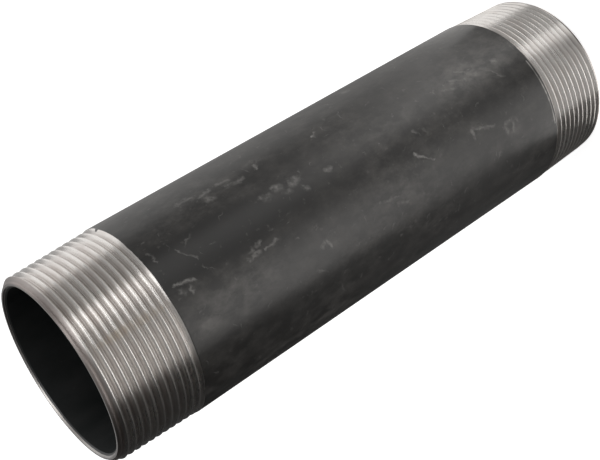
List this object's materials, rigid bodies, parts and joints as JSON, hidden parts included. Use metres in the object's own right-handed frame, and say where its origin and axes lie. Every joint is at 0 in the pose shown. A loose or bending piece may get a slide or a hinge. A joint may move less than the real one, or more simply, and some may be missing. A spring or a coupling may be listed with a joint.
{
  "type": "pipe nipple",
  "caption": "Straight length of black steel pipe with a tapered male pipe thread cut on each end, for joining female-threaded pipe fittings.",
  "frame": {"origin": "centre of the lower end face, on the pipe's axis", "axes": "+Z along the pipe's axis, from the end with the shorter thread up to the end with the longer thread"},
  "size_m": [0.0603, 0.0602, 0.2],
  "materials": {
    "black_steel": "thin black lacquer over mill scale, satin and scuffed; the threaded ends are bare cut steel"
  },
  "bodies": {
    "root": {"pipe_nipple": "black_steel"}
  },
  "joints": []
}
